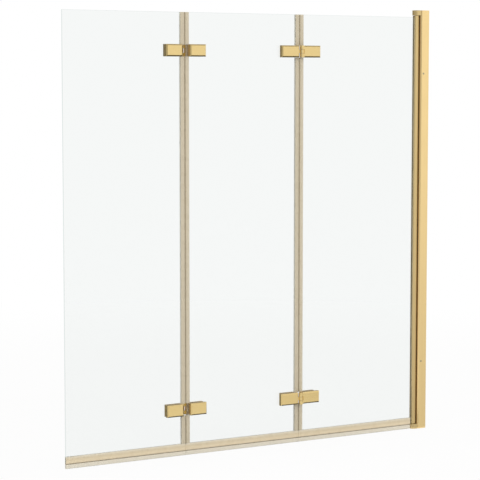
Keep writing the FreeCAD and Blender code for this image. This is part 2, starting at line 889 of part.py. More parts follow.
def make_fold_bushes(label, fold, front):
    """Two flanged bushes in the middle knuckle of each hinge."""
    body = new_body(label)
    axis = [("0", times(-front, "fold_axis_offset"))]
    for height in HINGE_HEIGHTS.values():
        for direction in (1, -1):
            sleeve = span(direction, "knuckle_gap / 2", "middle_knuckle_half")
            flange = span(direction, "middle_knuckle_half", "middle_knuckle_half + bush_flange")
            for radius, (low, high) in (("hinge_bush_radius", sleeve), ("hinge_bush_flange_radius", flange)):
                add_circles(body, "plan", axis, radius, f"{height} + ({low})", f"{height} + ({high})")
    cut_circles(body, "plan", axis, "hinge_pin_radius + running_clearance", "0", "screen_height")
    place(body, fold)


# The pieces on one glass edge at a fold, and those of the fold itself

def make_glass_edge(name, fold, side, front):
    """All that one glass edge carries. The right-hand edge of a fold has the end knuckles."""
    make_edge_seal(f"{name}_edge_seal", fold, side)
    for end, height in HINGE_HEIGHTS.items():
        make_leaf(f"{name}_hinge_leaf_{end}", fold, side, front, side > 0, height)
        make_cover(f"{name}_hinge_cover_{end}", fold, side, front, height)
    make_clamp_plates(f"{name}_clamp_plates", fold, side, front)
    make_glass_pads(f"{name}_glass_pads", fold, side, front)
    make_hinge_screws(f"{name}_hinge_screws", fold, side, front)


def make_fold(name, fold, front):
    for end, height in HINGE_HEIGHTS.items():
        make_fold_pin(f"{name}_pin_{end}", fold, front, height)
    make_fold_bushes(f"{name}_bushes", fold, front)


# The whole screen

make_wall_profile()
make_adjusting_profile()
make_side_screws()
make_wiper_strip()
make_bracket(
    "top_bracket",
    "profile_head",
    "screen_height",
    "screen_height",
    "profile_head - overrun",
    "profile_head + pivot_pin_socket",
)
make_bracket(
    "bottom_bracket",
    "0",
    "profile_foot",
    "0",
    "profile_foot - pivot_pin_socket",
    "profile_foot + overrun",
)
make_bracket_screws()
make_pivot_pins()
make_pivot_bushes()
make_pivot_profile()
make_glazing_gaskets()

RIGHT, LEFT = 1, -1
PIN_BEFORE, PIN_BEHIND = 1, -1

make_glass(
    "inner_glass",
    "inner_fold + glass_edge_gap",
    "slot_end - glazing_slot_rest",
    [("inner_fold", RIGHT)],
)
make_glass(
    "middle_glass",
    "outer_fold + glass_edge_gap",
    "inner_fold - glass_edge_gap",
    [("outer_fold", RIGHT), ("inner_fold", LEFT)],
)
make_glass("outer_glass", "free_edge", "outer_fold - glass_edge_gap", [("outer_fold", LEFT)])
make_bottom_seal("inner_bottom_seal", "inner_fold + seal_gap", "inner_seal_end")
make_bottom_seal("middle_bottom_seal", "outer_fold + seal_gap", "inner_fold - seal_gap")
make_bottom_seal("outer_bottom_seal", "free_edge", "outer_fold - seal_gap")
make_glass_edge("inner_left", "inner_fold", RIGHT, PIN_BEFORE)
make_glass_edge("middle_right", "inner_fold", LEFT, PIN_BEFORE)
make_glass_edge("middle_left", "outer_fold", RIGHT, PIN_BEHIND)
make_glass_edge("outer_right", "outer_fold", LEFT, PIN_BEHIND)
make_fold("inner_fold", "inner_fold", PIN_BEFORE)
make_fold("outer_fold", "outer_fold", PIN_BEHIND)

doc.recompute()

# Checks, then one file for each piece

for item in doc.Objects:
    if "Invalid" in item.State or "Error" in item.State:
        raise RuntimeError(f"{item.Label} failed: {item.State}")

pieces = [item for item in doc.Objects if item.TypeId == "PartDesign::Body"]
for piece in pieces:
    if piece.Shape.isNull() or not piece.Shape.isValid():
        raise RuntimeError(f"{piece.Label} has no sound shape")

os.makedirs("parts", exist_ok=True)
for piece in pieces:
    piece.Shape.exportStep(f"parts/{piece.Label}.step")
    print(piece.Label, len(piece.Shape.Solids), round(piece.Shape.Volume))
print(len(pieces), "pieces")
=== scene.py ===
"""Dresses a folding bath screen of clear glass and gold hardware, and sets up its studio."""

import logging
import math
from dataclasses import dataclass, field
from enum import Enum
from typing import Callable, Iterable, Sequence, Union

import bmesh
import bpy
from mathutils import Matrix, Vector


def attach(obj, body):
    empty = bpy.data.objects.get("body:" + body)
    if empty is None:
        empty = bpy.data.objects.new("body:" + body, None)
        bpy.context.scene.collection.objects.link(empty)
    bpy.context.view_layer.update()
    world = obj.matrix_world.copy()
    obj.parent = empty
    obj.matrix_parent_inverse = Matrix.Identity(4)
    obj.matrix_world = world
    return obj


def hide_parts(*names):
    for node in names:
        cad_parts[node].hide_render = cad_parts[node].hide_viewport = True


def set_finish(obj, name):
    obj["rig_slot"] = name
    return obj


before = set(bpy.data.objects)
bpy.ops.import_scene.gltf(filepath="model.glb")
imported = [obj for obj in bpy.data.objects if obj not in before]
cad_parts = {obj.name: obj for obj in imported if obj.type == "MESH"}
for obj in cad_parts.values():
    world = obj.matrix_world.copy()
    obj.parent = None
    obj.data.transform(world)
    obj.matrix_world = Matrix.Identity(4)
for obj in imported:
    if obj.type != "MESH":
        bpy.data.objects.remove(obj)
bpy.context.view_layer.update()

MM = 0.001
WHITE = (1.0, 1.0, 1.0)
SMOOTH_ANGLE = math.radians(30.0)
MERGE_DISTANCE = 0.001 * MM
STRAIGHT = 0.9  # part of a normal along an axis, above which its face counts as looking that way
NOISE_MIDDLE = 0.5
NOISE_ROUGHNESS = 0.6
Colour = tuple[float, float, float]
Place = tuple[float, float, float]
Span = tuple[float, float]
Input = Union[float, Sequence[float], bpy.types.NodeSocket, "Signal"]
log = logging.getLogger("screen")


class Slot(Enum):
    """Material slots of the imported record."""

    PROFILE = "gold_profile"
    HINGE = "gold_hinge"
    GLASS = "clear_glass"
    SEAL = "clear_seal"
    STEEL = "steel"
    NYLON = "nylon"
    RUBBER = "rubber"


class Body(Enum):
    """Moving bodies of the screen."""

    WALL = "wall_side"
    INNER = "inner_panel"
    MIDDLE = "middle_panel"
    OUTER = "outer_panel"


class Head(Enum):
    """Kinds of screw head."""

    PAN = "pan"
    SUNK = "countersunk"


class Grain(Enum):
    """Stretch of the marks along the way that a metal face was brushed."""

    UPRIGHT = (1.0, 1.0, 0.012)
    LEVEL = (0.02, 1.0, 1.0)


class Run(Enum):
    """Stretch of the streaks along the way that a seal was extruded."""

    UPRIGHT = (1.0, 1.0, 0.004)
    LEVEL = (0.004, 1.0, 1.0)


class Facing(Enum):
    """Ways that a card of the studio can face."""

    FRONT = (0.0, -1.0, 0.0)
    REAR = (0.0, 1.0, 0.0)
    RIGHT = (1.0, 0.0, 0.0)
    UP = (0.0, 0.0, 1.0)
    DOWN = (0.0, 0.0, -1.0)


# Shader tools


class Signal:
    """A number in a shader, to write its maths as expressions."""

    def __init__(self, shader: "Shader", socket: bpy.types.NodeSocket) -> None:
        """Wrap one output socket.

        Args:
            shader: Tree that the socket belongs to.
            socket: Output that carries the number.
        """
        self.shader = shader
        self.socket = socket

    def _math(self, operation: str, first: Input, second: Input) -> "Signal":
        """Add one Math node.

        Args:
            operation: Operation of the node.
            first: Its first value.
            second: Its second value.

        Returns:
            The result of the node.
        """
        return self.shader.number("ShaderNodeMath", {"operation": operation}, {0: first, 1: second})

    def __add__(self, other: Input) -> "Signal":
        """The sum."""
        return self._math("ADD", self, other)

    def __radd__(self, other: Input) -> "Signal":
        """The sum, with the number first."""
        return self._math("ADD", other, self)

    def __sub__(self, other: Input) -> "Signal":
        """The difference."""
        return self._math("SUBTRACT", self, other)

    def __rsub__(self, other: Input) -> "Signal":
        """The difference, with the number first."""
        return self._math("SUBTRACT", other, self)

    def __mul__(self, other: Input) -> "Signal":
        """The product."""
        return self._math("MULTIPLY", self, other)

    def __rmul__(self, other: Input) -> "Signal":
        """The product, with the number first."""
        return self._math("MULTIPLY", other, self)

    def __truediv__(self, other: Input) -> "Signal":
        """The quotient."""
        return self._math("DIVIDE", self, other)

    def __neg__(self) -> "Signal":
        """The number with its sign turned."""
        return self._math("MULTIPLY", self, -1.0)

    def __abs__(self) -> "Signal":
        """The size without its sign."""
        return self._math("ABSOLUTE", self, 0.0)

    def __pow__(self, other: Input) -> "Signal":
        """The power."""
        return self._math("POWER", self, other)

    def above(self, low: float, high: float) -> "Signal":
        """A soft step.

        Args:
            low: Where the step starts, at 0.
            high: Where it ends, at 1.

        Returns:
            A number from 0 to 1.
        """
        settings = {"interpolation_type": "SMOOTHSTEP"}
        inputs = {"Value": self, "From Min": low, "From Max": high}
        return self.shader.number("ShaderNodeMapRange", settings, inputs)


class Shader:
    """Node tree of one material or of the world."""

    def __init__(self, tree: bpy.types.NodeTree) -> None:
        """Start an empty tree.

        Args:
            tree: Tree to fill.
        """
        self.tree = tree
        tree.nodes.clear()

    def node(self, kind: str, settings: dict[str, object] | None = None,
             inputs: dict[int | str, Input] | None = None) -> bpy.types.Node:
        """Add a node.

        Args:
            kind: Type name of the node.
            settings: Properties to set first; "stops" fills a colour ramp.
            inputs: Values or links of its sockets, by name or number.

        Returns:
            The new node.
        """
        made = self.tree.nodes.new(kind)
        for name, setting in (settings or {}).items():
            if name == "stops":
                ramp = made.color_ramp
                while len(ramp.elements) < len(setting):
                    ramp.elements.new(0.5)
                for element, (place, colour) in zip(ramp.elements, setting):
                    element.position = place
                    element.color = (*colour, 1.0)
            else:
                setattr(made, name, setting)
        for name, given in (inputs or {}).items():
            socket = made.inputs[name]
            source = given.socket if isinstance(given, Signal) else given
            if isinstance(source, bpy.types.NodeSocket):
                self.tree.links.new(source, socket)
            elif socket.type == "RGBA" and len(source) == 3:
                socket.default_value = (*source, 1.0)
            else:
                socket.default_value = source
        return made

    def number(self, kind: str, settings: dict[str, object] | None = None,
               inputs: dict[int | str, Input] | None = None, output: int | str = 0) -> Signal:
        """Add a node and take a number from it.

        Args:
            kind: Type name of the node.
            settings: Properties to set first.
            inputs: Values or links of its sockets.
            output: Output to take.

        Returns:
            The number.
        """
        return Signal(self, self.node(kind, settings, inputs).outputs[output])

    def axes(self, kind: str) -> tuple[Signal, Signal, Signal]:
        """The three parts of a vector of the piece.

        Args:
            kind: "Object" for the place on it, "Normal" for the way that its face looks.

        Returns:
            The parts along X, Y and Z.
        """
        vector = self.node("ShaderNodeTexCoord").outputs[kind]
        parts = self.node("ShaderNodeSeparateXYZ", inputs={0: vector}).outputs
        return Signal(self, parts[0]), Signal(self, parts[1]), Signal(self, parts[2])

    def noise(self, size: float, stretch: Sequence[float] = (1.0, 1.0, 1.0), detail: float = 3.0) -> Signal:
        """Noise over the surface.

        Args:
            size: Size of its marks in metres.
            stretch: Factor on each axis; below 1 draws the marks out.
            detail: Octaves of finer marks.

        Returns:
            A number around 0.5.
        """
        place = self.node("ShaderNodeTexCoord").outputs["Object"]
        drawn = self.node("ShaderNodeMapping", inputs={"Vector": place, "Scale": stretch}).outputs[0]
        return self.number("ShaderNodeTexNoise", inputs={
            "Vector": drawn, "Scale": 1.0 / size, "Detail": detail, "Roughness": NOISE_ROUGHNESS})

    def mix(self, share: Input, first: Input, second: Input) -> bpy.types.NodeSocket:
        """Mix two colours.

        Args:
            share: Share of the second colour.
            first: First colour.
            second: Second colour.

        Returns:
            The mixed colour.
        """
        made = self.node("ShaderNodeMix", {"data_type": "RGBA"}, {0: share, 6: first, 7: second})
        return made.outputs[2]

    def blend(self, share: Input, first: Input, second: Input) -> bpy.types.NodeSocket:
        """Mix two shaders.

        Args:
            share: Share of the second shader.
            first: First shader.
            second: Second shader.

        Returns:
            The mixed shader.
        """
        return self.node("ShaderNodeMixShader", inputs={0: share, 1: first, 2: second}).outputs[0]

    def clear(self, tint: Colour = WHITE) -> bpy.types.NodeSocket:
        """Add a shader that lets light through, tinted."""
        return self.node("ShaderNodeBsdfTransparent", inputs={0: tint}).outputs[0]

    def glow(self, colour: Input) -> bpy.types.NodeSocket:
        """Add a shader that shows a colour as it is."""
        return self.node("ShaderNodeEmission", inputs={0: colour, 1: 1.0}).outputs[0]

    def bump(self, height: Input, distance: float) -> bpy.types.NodeSocket:
        """Turn a height into a normal.

        Args:
            height: Height from 0 to 1.
            distance: Depth in metres of a height of 1.

        Returns:
            The normal.
        """
        return self.node("ShaderNodeBump", inputs={"Height": height, "Distance": distance}).outputs[0]

    def ray(self, kinds: Iterable[str]) -> Signal:
        """One for rays of the named kinds, and zero for the others.

        Args:
            kinds: Outputs of the Light Path node.

        Returns:
            The greatest of them.
        """
        path = self.node("ShaderNodeLightPath")
        first, *others = [Signal(self, path.outputs[kind]) for kind in kinds]
        for other in others:
            first = self.number("ShaderNodeMath", {"operation": "MAXIMUM"}, {0: first, 1: other})
        return first

    def surface(self, shader: bpy.types.NodeSocket) -> None:
        """Send a shader to the output."""
        self.node("ShaderNodeOutputMaterial", inputs={"Surface": shader})

    def principled(self, **inputs: Input) -> bpy.types.NodeSocket:
        """Add a Principled shader.

        Args:
            inputs: Its sockets, with underscores for spaces.

        Returns:
            Its output.
        """
        named = {name.replace("_", " "): given for name, given in inputs.items()}
        return self.node("ShaderNodeBsdfPrincipled", inputs=named).outputs[0]


def new_material(name: str) -> tuple[bpy.types.Material, Shader]:
    """Make an empty material.

    Args:
        name: Name of the finish.

    Returns:
        The material and its tree.
    """
    material = bpy.data.materials.new(name)
    material.use_nodes = True
    return material, Shader(material.node_tree)


def darker(colour: Colour, share: float) -> Colour:
    """A colour with only a share of its light."""
    red, green, blue = colour
    return red * share, green * share, blue * share


# Finishes


@dataclass(frozen=True)
class GoldFinish:
    """Satin gold metal, brushed along one axis.

    The faces that look down are painted darker, a painted shade that keeps only a share of the gold's
    colour.
    """

    name: str
    colour: Colour
    grain: Grain
    roughness: float
    painted_under_shade_share: float = 1.0
    line_size: float = 0.6 * MM
    cloud_size: float = 60.0 * MM
    pit_size: float = 1.1 * MM
    brushing: float = 0.012 * MM
    deep_share: float = 0.93
    lines_share: float = 0.3
    lines_gloss: float = 0.12
    cloud_gloss: float = 0.05
    pit_depth: float = 0.5
    pit_span: Span = (0.66, 0.8)
    painted_under_shade_span: Span = (0.25, 0.6)

    def material(self) -> bpy.types.Material:
        """Build the finish.

        Returns:
            The material.
        """
        material, shader = new_material(self.name)
        lines = shader.noise(self.line_size, self.grain.value, 4.0)
        cloud = shader.noise(self.cloud_size, detail=2.0)
        pits = shader.noise(self.pit_size, detail=1.0).above(*self.pit_span)
        depth = cloud * (1.0 - self.lines_share) + lines * self.lines_share
        colour = shader.mix(depth, self.colour, darker(self.colour, self.deep_share))
        # painted shade: faces that look down take a darker copy of the colour
        down = (-shader.axes("Normal")[2]).above(*self.painted_under_shade_span)
        colour = shader.mix(down, colour, darker(self.colour, self.painted_under_shade_share))
        uneven = (lines - NOISE_MIDDLE) * self.lines_gloss + (cloud - NOISE_MIDDLE) * self.cloud_gloss
        shader.surface(shader.principled(
            Base_Color=colour, Metallic=1.0, Roughness=self.roughness + uneven,
            Normal=shader.bump(lines - pits * self.pit_depth, self.brushing)))
        return material


@dataclass(frozen=True)
class GlassFinish:
    """Clear tempered glass, a little greener and darker at its polished edges."""

    name: str = "clear_glass"
    tint: Colour = (0.957, 0.966, 0.962)
    edge: Colour = (0.79, 0.83, 0.82)
    face_span: Span = (0.6, 0.95)
    wave_size: float = 120.0 * MM
    wave_depth: float = 0.01 * MM
    film_size: float = 90.0 * MM
    film_stretch: tuple[float, float, float] = (1.0, 1.0, 0.35)
    film_span: Span = (0.45, 0.8)
    film_loss: float = 0.15
    straight_gloss: float = 0.04
    slant_power: float = 5.0
    edge_gloss: float = 0.25

    def material(self) -> bpy.types.Material:
        """Build the finish.

        Returns:
            The material.
        """
        material, shader = new_material(self.name)
        face = abs(shader.axes("Normal")[1]).above(*self.face_span)
        film = shader.noise(self.film_size, self.film_stretch).above(*self.film_span)
        waves = shader.bump(shader.noise(self.wave_size, detail=1.0), self.wave_depth)
        gloss = shader.principled(Base_Color=WHITE, Metallic=1.0, Roughness=0.0, Normal=waves)
        clear = shader.blend(face, shader.clear(self.edge), shader.clear(self.tint))
        slant = shader.number(
            "ShaderNodeLayerWeight", inputs={"Blend": 0.5, "Normal": waves}, output="Facing")
        mirrored = self.straight_gloss + (1.0 - self.straight_gloss) * slant ** self.slant_power
        polish = self.edge_gloss + face * (1.0 - self.edge_gloss)
        share = mirrored * polish * (1.0 - film * self.film_loss)
        shader.surface(shader.blend(share, clear, gloss))
        return material


@dataclass(frozen=True)
class SealFinish:
    """Soft clear extrusion that looks beige; the faces that look at the glass are painted paler, a painted
    light that lifts the shade in the narrow gap against the glass.

    The bands are colours at heights above the foot, for a seal that shows in level bands.
    """

    name: str
    colour: Colour = (0.585, 0.50, 0.345)
    pale: Colour = (0.70, 0.63, 0.49)
    # pale colour painted on the faces that look at the glass, a painted light
    inner: Colour = (0.96, 0.94, 0.87)
    run: Run = Run.UPRIGHT
    bands: tuple[tuple[float, Colour], ...] = ()
    bands_height: float = 40.0 * MM
    bands_pale_share: float = 0.5
    streak_size: float = 2.2 * MM
    streak_depth: float = 0.12 * MM
    streak_share: float = 0.7
    cloud_size: float = 30.0 * MM
    cloud_gloss: float = 0.12
    roughness: float = 0.22
    index: float = 1.46
    cover: float = 0.86
    painted_light_span: Span = (1.2 * MM, 2.4 * MM)

    def material(self) -> bpy.types.Material:
        """Build the finish.

        Returns:
            The material.
        """
        material, shader = new_material(self.name)
        streaks = shader.noise(self.streak_size, self.run.value)
        cloud = shader.noise(self.cloud_size, detail=2.0)
        share = streaks * self.streak_share + cloud * (1.0 - self.streak_share)
        across, height = shader.axes("Object")[1:]
        if self.bands:
            stops = tuple((step / self.bands_height, shade) for step, shade in self.bands)
            ramp = shader.node("ShaderNodeValToRGB", {"stops": stops}, {0: height / self.bands_height})
            colour = shader.mix(share * self.bands_pale_share, ramp.outputs[0], self.pale)
        else:
            colour = shader.mix(share, self.colour, self.pale)
        # painted light: the faces that look at the glass take a pale colour, lifting the shade in the gap
        # against the glass
        inward = -(across * shader.axes("Normal")[1])
        colour = shader.mix(inward.above(*self.painted_light_span), colour, self.inner)
        shader.surface(shader.principled(
            Base_Color=colour, Roughness=self.roughness + cloud * self.cloud_gloss, IOR=self.index,
            Alpha=self.cover, Normal=shader.bump(streaks, self.streak_depth)))
        return material


@dataclass(frozen=True)
class PlainFinish:
    """Steel, nylon or rubber: one colour with fine marks."""

    name: str
    colour: Colour
    metallic: float
    roughness: float
    mark_size: float
    mark_depth: float
    mark_share: float = 0.4
    mark_gloss: float = 0.14
    cloud_ratio: float = 14.0
    deep_share: float = 0.84

    def material(self) -> bpy.types.Material:
        """Build the finish.

        Returns:
            The material.
        """
        material, shader = new_material(self.name)
        marks = shader.noise(self.mark_size)
        cloud = shader.noise(self.mark_size * self.cloud_ratio, detail=2.0)
        depth = cloud * (1.0 - self.mark_share) + marks * self.mark_share
        shader.surface(shader.principled(
            Base_Color=shader.mix(depth, self.colour, darker(self.colour, self.deep_share)),
            Metallic=self.metallic, Roughness=self.roughness + (marks - NOISE_MIDDLE) * self.mark_gloss,
            Normal=shader.bump(marks, self.mark_depth)))
        return material


FINISHES = {
    Slot.PROFILE: GoldFinish("gold_profile", (0.98, 0.735, 0.35), Grain.UPRIGHT, 0.32),
    # the hinge gold carries a painted shade on the faces that look down
    Slot.HINGE: GoldFinish("gold_hinge", (0.86, 0.655, 0.295), Grain.LEVEL, 0.29, painted_under_shade_share=0.18),
    Slot.GLASS: GlassFinish(),
    Slot.SEAL: SealFinish("clear_seal"),
    Slot.STEEL: PlainFinish("steel", (0.52, 0.45, 0.31), 1.0, 0.32, 0.9 * MM, 0.01 * MM),
    Slot.NYLON: PlainFinish("nylon", (0.60, 0.45, 0.27), 0.0, 0.5, 1.2 * MM, 0.02 * MM),
    Slot.RUBBER: PlainFinish("rubber", (0.15, 0.12, 0.07), 0.0, 0.62, 0.8 * MM, 0.03 * MM),
}
MATERIALS = {slot: finish.material() for slot, finish in FINISHES.items()}
# a darker copy of the profile gold, partly painted shade: it darkens the recessed pivot profile and the
# rounded brackets
SHADED_PIVOT_GOLD = GoldFinish("shaded_gold_pivot", (0.74, 0.565, 0.27), Grain.UPRIGHT, 0.38).material()
CLEAR_GASKET = SealFinish(
    "clear_gasket", colour=(0.45, 0.38, 0.22), pale=(0.55, 0.47, 0.31), inner=(0.52, 0.45, 0.29)).material()
# painted shadow: the dark band on the foot seal stands in for the shadow in the gap where its leg meets its
# lip
PAINTED_GAP_SHADOW = (0.34, 0.27, 0.17)
FOOT_SEAL = SealFinish("foot_seal", pale=(0.84, 0.76, 0.62), run=Run.LEVEL, bands=(
    (0.0, (0.90, 0.87, 0.76)),
    (13.0 * MM, (0.93, 0.87, 0.73)),
    (14.0 * MM, PAINTED_GAP_SHADOW),
    (15.6 * MM, PAINTED_GAP_SHADOW),
    (16.6 * MM, (0.82, 0.68, 0.45)),
    (21.0 * MM, (0.93, 0.77, 0.51)),
    (29.0 * MM, (0.76, 0.63, 0.41)),
    (36.0 * MM, (0.84, 0.76, 0.60)))).material()


def dress(node: str, material: bpy.types.Material) -> None:
    """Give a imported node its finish.

    Args:
        node: Name of the node.
        material: Finish that it takes.
    """
    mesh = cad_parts[node].data
    if not mesh.materials:
        mesh.materials.append(None)
    for place in range(len(mesh.materials)):
        mesh.materials[place] = material


# Modelling tools


@dataclass
class Bench:
    """Work on one new mesh with the usual edit tools."""

    name: str
    made: bpy.types.Object | None = None

    def clear(self) -> None:
        """Leave edit mode and deselect all objects."""
        if bpy.context.object and bpy.context.object.mode != "OBJECT":
            bpy.ops.object.mode_set(mode="OBJECT")
        bpy.ops.object.select_all(action="DESELECT")

    def start(self, add: Callable[..., set[str]], **shape: object) -> "Bench":
        """Add a primitive at its size and place.

        Args:
            add: Primitive operator.
            shape: Its options.

        Returns:
            The bench.
        """
        self.clear()
        add(**shape)
        self.made = bpy.context.object
        self.made.name = self.name
        self.made.data.name = self.name
        bpy.ops.object.transform_apply(location=True, rotation=True, scale=True)
        return self

    def pick(self, test: Callable[[bmesh.types.BMFace], bool]) -> None:
        """Select faces by a test, in edit mode.

        Args:
            test: True for a face that is selected.
        """
        if self.made.mode != "EDIT":
            bpy.ops.object.mode_set(mode="EDIT")
        bpy.ops.mesh.select_mode(type="FACE")
        bpy.ops.mesh.select_all(action="DESELECT")
        shape = bmesh.from_edit_mesh(self.made.data)
        for face in shape.faces:
            face.select_set(bool(test(face)))
        shape.select_flush_mode()
        bmesh.update_edit_mesh(self.made.data)

    def modify(self, kind: str, **options: object) -> None:
        """Add a modifier and apply it.

        Args:
            kind: Type of the modifier.
            options: Its settings.
        """
        self.clear()
        self.made.select_set(True)
        bpy.context.view_layer.objects.active = self.made
        modifier = self.made.modifiers.new(kind.title(), kind)
        for name, option in options.items():
            setattr(modifier, name, option)
        bpy.ops.object.modifier_apply(modifier=modifier.name)

    def finish(self, body: Body, slot: Slot) -> bpy.types.Object:
        """Close the piece, dress it and let it ride.

        Args:
            body: Body that carries it.
            slot: Slot of its finish.

        Returns:
            The finished piece.
        """
        if self.made.mode != "EDIT":
            bpy.context.view_layer.objects.active = self.made
            bpy.ops.object.mode_set(mode="EDIT")
        bpy.ops.mesh.select_all(action="SELECT")
        bpy.ops.mesh.remove_doubles(threshold=MERGE_DISTANCE)
        bpy.ops.mesh.normals_make_consistent(inside=False)
        self.clear()
        self.made.select_set(True)
        bpy.context.view_layer.objects.active = self.made
        bpy.ops.object.shade_smooth_by_angle(angle=SMOOTH_ANGLE)
        self.made.data.materials.clear()
        self.made.data.materials.append(MATERIALS[slot])
        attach(self.made, body.value)
        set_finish(self.made, slot.value)
        log.info("%s: %d faces, rides on %s", self.name, len(self.made.data.polygons), body.value)
        return self.made


def copy_piece(piece: bpy.types.Object, name: str, move: Matrix, body: Body) -> None:
    """Copy a finished piece with a mesh of its own.

    Args:
        piece: Piece to copy.
        name: Name of the copy.
        move: How its mesh is moved, turned or mirrored.
        body: Body that carries it.
    """
    twin = bpy.data.objects.new(name, piece.data.copy())
    twin.data.name = name
    bpy.context.collection.objects.link(twin)
    twin.data.transform(move)
    if move.determinant() < 0:
        twin.data.flip_normals()
    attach(twin, body.value)
    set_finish(twin, piece["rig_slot"])
    log.info("%s: copy of %s, rides on %s", name, piece.name, body.value)


# Sub-assemblies


@dataclass(frozen=True)
class CrossScrew:
    """A screw with a cross recess in its head."""

    head: Head
    head_radius: float
    head_height: float
    shank_radius: float
    shank_length: float
    sides: int = 32
    crown_radius: float = 0.75 * MM
    crown_steps: int = 4
    crown_fullness: float = 0.6
    rim_radius: float = 0.15 * MM
    rim_steps: int = 2
    tip_width: float = 0.3 * MM
    tip_length: float = 0.5 * MM
    recess_width: float = 0.8 * MM
    recess_length: float = 3.4 * MM
    recess_drop: float = 0.4 * MM
    recess_foot_share: float = 0.6

    def model(self, name: str, seat: Vector, out: Vector, body: Body) -> bpy.types.Object:
        """Model the screw.

        Args:
            name: Name of the piece.
            seat: Middle of a pan head's seat, or of a countersunk head's face.
            out: Direction out of the work.
            body: Body that carries it.

        Returns:
            The finished screw.
        """
        foot = self.head_height if self.head is Head.SUNK else 0.0
        screw = Bench(name).start(
            bpy.ops.mesh.primitive_cylinder_add, vertices=self.sides, radius=self.shank_radius,
            depth=self.shank_length, location=(0.0, 0.0, -foot - self.shank_length / 2))
        screw.pick(lambda face: face.normal.z > STRAIGHT)
        grow = self.head_radius / self.shank_radius
        rise = {"value": (0.0, 0.0, self.head_height)}
        if self.head is Head.PAN:
            bpy.ops.mesh.extrude_region_move()
            bpy.ops.transform.resize(value=(grow, grow, 1.0))
            bpy.ops.mesh.extrude_region_move(TRANSFORM_OT_translate=rise)
            bpy.ops.mesh.bevel(offset=self.crown_radius, segments=self.crown_steps,
                               profile=self.crown_fullness, affect="EDGES")
        else:
            bpy.ops.mesh.extrude_region_move(TRANSFORM_OT_translate=rise)
            bpy.ops.transform.resize(value=(grow, grow, 1.0))
            bpy.ops.mesh.bevel(offset=self.rim_radius, segments=self.rim_steps, affect="EDGES")
        screw.pick(lambda face: face.normal.z < -STRAIGHT
                   and face.calc_center_median().z < -self.shank_length)
        bpy.ops.mesh.inset(thickness=self.tip_width, depth=self.tip_length)
        cutter = self.cross(Vector((0.0, 0.0, self.head_height - foot)))
        screw.modify("BOOLEAN", object=cutter, operation="DIFFERENCE", solver="EXACT")
        bpy.data.objects.remove(cutter)
        screw.made.rotation_euler = out.to_track_quat("Z", "Y").to_euler()
        screw.made.location = seat
        bpy.ops.object.transform_apply(location=True, rotation=True, scale=True)
        return screw.finish(body, Slot.STEEL)

    def cross(self, place: Vector) -> bpy.types.Object:
        """Model the cutter of the recess, narrower at its foot.

        Args:
            place: Middle of the recess on the head's face.

        Returns:
            The cutter.
        """
        cutter = Bench("recess").start(
            bpy.ops.mesh.primitive_cube_add, size=self.recess_width, location=place)
        for axis, side in ((0, 1.0), (0, -1.0), (1, 1.0), (1, -1.0)):
            cutter.pick(lambda face: face.normal[axis] * side > STRAIGHT
                        and abs(face.calc_center_median()[1 - axis]) < self.recess_width / 4)
            reach = [0.0, 0.0, 0.0]
            reach[axis] = side * (self.recess_length - self.recess_width) / 2
            bpy.ops.mesh.extrude_region_move(TRANSFORM_OT_translate={"value": tuple(reach)})
        cutter.pick(lambda face: face.normal.z < -STRAIGHT)
        bpy.ops.transform.translate(value=(0.0, 0.0, -self.recess_drop))
        bpy.ops.transform.resize(value=(self.recess_foot_share, self.recess_foot_share, 1.0))
        bpy.ops.mesh.select_all(action="SELECT")
        bpy.ops.mesh.normals_make_consistent(inside=False)
        cutter.clear()
        return cutter.made


@dataclass
class WallSide:
    """Wall profile, adjusting profile, brackets and their screws."""

    body: Body = Body.WALL
    height: float = 1380.0 * MM
    side_place: Place = (-20.9 * MM, -14.5 * MM, 226.0 * MM)
    side_rise: float = 949.0 * MM
    side_screw: CrossScrew = CrossScrew(
        Head.PAN, head_radius=3.0 * MM, head_height=1.2 * MM, shank_radius=1.6 * MM, shank_length=7.0 * MM)
    bracket_place: Place = (-25.5 * MM, 4.5 * MM, 0.2 * MM)
    bracket_screw: CrossScrew = CrossScrew(
        Head.SUNK, head_radius=3.6 * MM, head_height=1.6 * MM, shank_radius=2.0 * MM, shank_length=28.4 * MM)

    def build(self) -> None:
        """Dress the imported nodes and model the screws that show."""
        for node in ("wall_profile", "adjusting_profile"):
            dress(node, MATERIALS[Slot.PROFILE])
        # the brackets take the darker gold, partly painted shade
        for node in ("top_bracket", "bottom_bracket"):
            dress(node, SHADED_PIVOT_GOLD)
        for node in ("bracket_screws", "pivot_pins", "side_screws"):
            dress(node, MATERIALS[Slot.STEEL])
        dress("wiper_strip", MATERIALS[Slot.RUBBER])
        out = Vector((0.0, -1.0, 0.0))
        first = self.side_screw.model("side_screw_lower", Vector(self.side_place), out, self.body)
        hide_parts("side_screws")
        copy_piece(first, "side_screw_upper", Matrix.Translation((0.0, 0.0, self.side_rise)), self.body)
        out = Vector((0.0, 0.0, -1.0))
        first = self.bracket_screw.model("bracket_screw_1", Vector(self.bracket_place), out, self.body)
        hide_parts("bracket_screws")
        across = Matrix.Translation((0.0, -2 * self.bracket_place[1], 0.0))
        over = Matrix.Translation((0.0, 0.0, self.height)) @ Matrix.Diagonal((1.0, 1.0, -1.0, 1.0))
        for number, move in ((2, across), (3, over), (4, across @ over)):
            copy_piece(first, f"bracket_screw_{number}", move, self.body)


